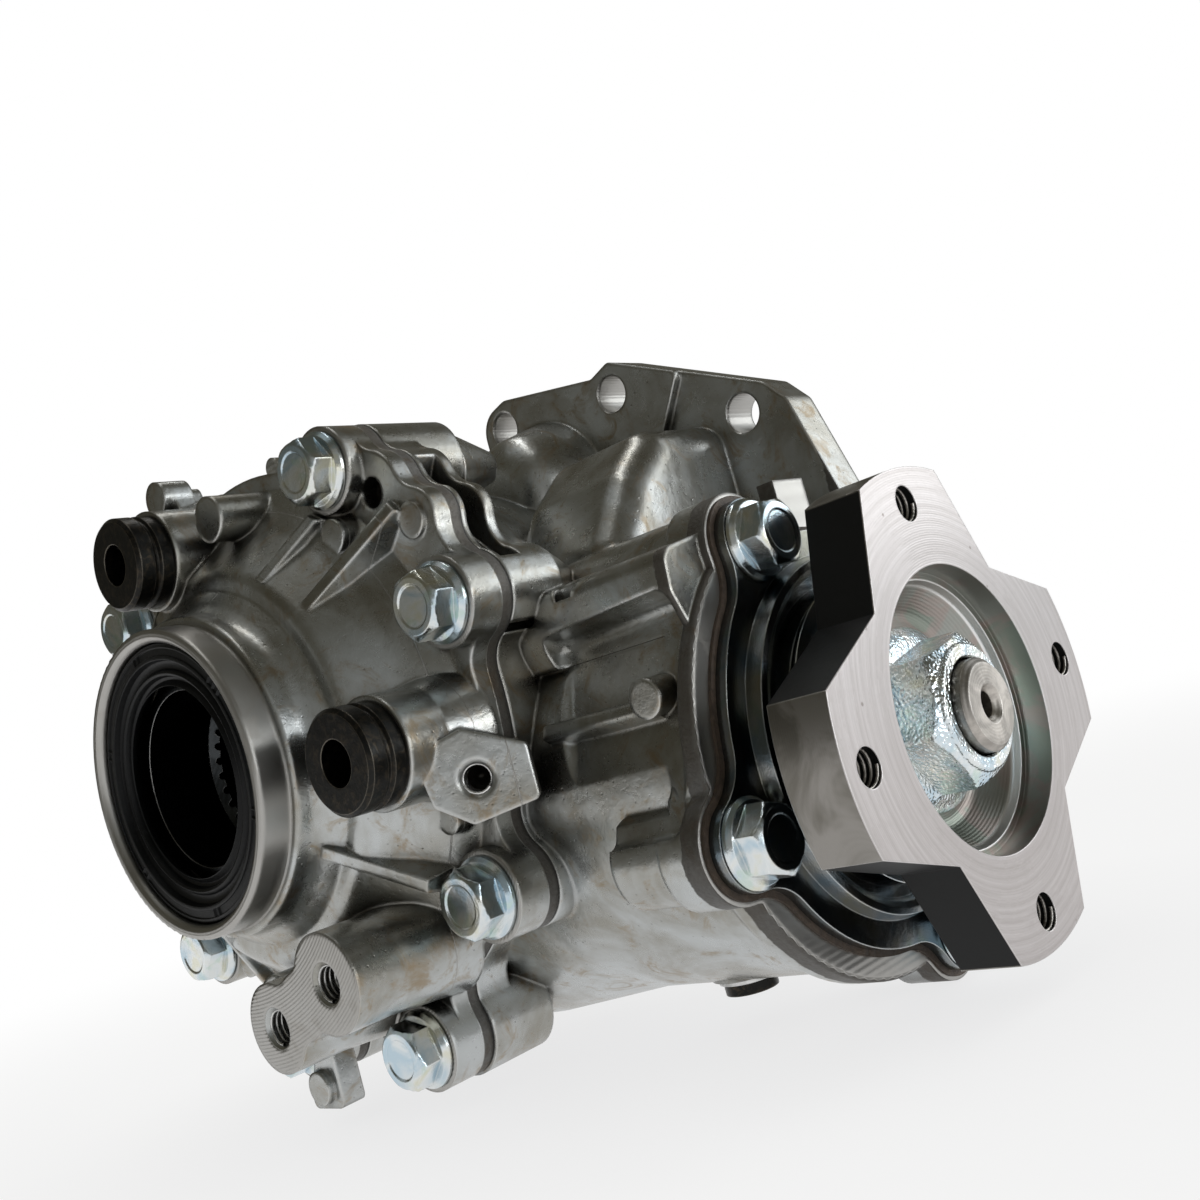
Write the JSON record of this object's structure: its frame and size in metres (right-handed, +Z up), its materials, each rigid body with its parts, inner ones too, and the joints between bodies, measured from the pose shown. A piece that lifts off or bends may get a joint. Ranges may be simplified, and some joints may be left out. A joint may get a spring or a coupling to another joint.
{
  "type": "transfer case",
  "caption": "Right-angle transfer case: a hollow input shaft drives a hypoid ring gear and pinion to a lobed output flange, in a cast case with a bolted input cover and a bracket.",
  "frame": {"origin": "centre of the output flange's front face", "axes": "-Y out of the output flange along the output axis, -X out of the input pilot ring, parallel to the input axis, +Z up"},
  "size_m": [0.1716, 0.2615, 0.1923],
  "materials": {
    "cast_aluminium": "as-cast with bare machined faces",
    "zinc_plate": "bright zinc plate with a faint blue and yellow tint",
    "machined_steel": "turned faces, black oxide on the forged flanks",
    "black_oxide": "oiled black oxide",
    "forged_steel": "turned steel",
    "gear_steel": "case-hardened and ground",
    "ground_steel": "ground",
    "cage_steel": "pressed, phosphated",
    "seal_rubber": "moulded black rubber on a steel case",
    "brown_sealant": "set liquid sealant",
    "grey_sealant": "set liquid sealant",
    "soft_aluminium": "soft crush washer"
  },
  "bodies": {
    "case": {"main_housing": "cast_aluminium", "input_cover": "cast_aluminium", "cover_sealant": "grey_sealant", "cover_bolts": "zinc_plate", "joint_dowels": "ground_steel", "mount_collars": "black_oxide", "output_seal_retainer": "zinc_plate", "retainer_sealant": "brown_sealant", "retainer_bolts": "zinc_plate", "output_oil_seal": "seal_rubber", "input_oil_seal": "seal_rubber", "far_oil_seal": "seal_rubber", "far_bearing_shim": "ground_steel", "drain_plug": "black_oxide", "drain_plug_washer": "soft_aluminium", "fill_plug": "black_oxide", "fill_plug_washer": "soft_aluminium", "pinion_front_outer_race": "ground_steel", "pinion_rear_outer_race": "ground_steel", "input_cover_side_outer_race": "ground_steel", "input_far_side_outer_race": "ground_steel"},
    "input_drive": {"input_shaft": "forged_steel", "ring_gear": "gear_steel", "ring_gear_bolts": "black_oxide", "input_cover_side_inner_race": "ground_steel", "input_cover_side_rollers": "ground_steel", "input_cover_side_cage": "cage_steel", "input_far_side_inner_race": "ground_steel", "input_far_side_rollers": "ground_steel", "input_far_side_cage": "cage_steel"},
    "output_drive": {"companion_flange": "machined_steel", "pinion_nut": "zinc_plate", "pinion_shaft": "gear_steel", "crush_sleeve": "forged_steel", "dust_slinger": "zinc_plate", "pinion_shim": "ground_steel", "pinion_front_inner_race": "ground_steel", "pinion_front_rollers": "ground_steel", "pinion_front_cage": "cage_steel", "pinion_rear_inner_race": "ground_steel", "pinion_rear_rollers": "ground_steel", "pinion_rear_cage": "cage_steel"}
  },
  "joints": [
    {"name": "input_spin", "type": "hinge", "parent": "case", "child": "input_drive", "pos_m": [0, 0.165, 0.033], "axis": [1, 0, 0], "continuous": true},
    {"name": "output_spin", "type": "hinge", "parent": "case", "child": "output_drive", "pos_m": [0, 0, 0], "axis": [0, 1, 0], "continuous": true}
  ],
  "couplings": [
    {"joint": "output_spin", "follows": "input_spin", "ratio": -2.4667}
  ]
}
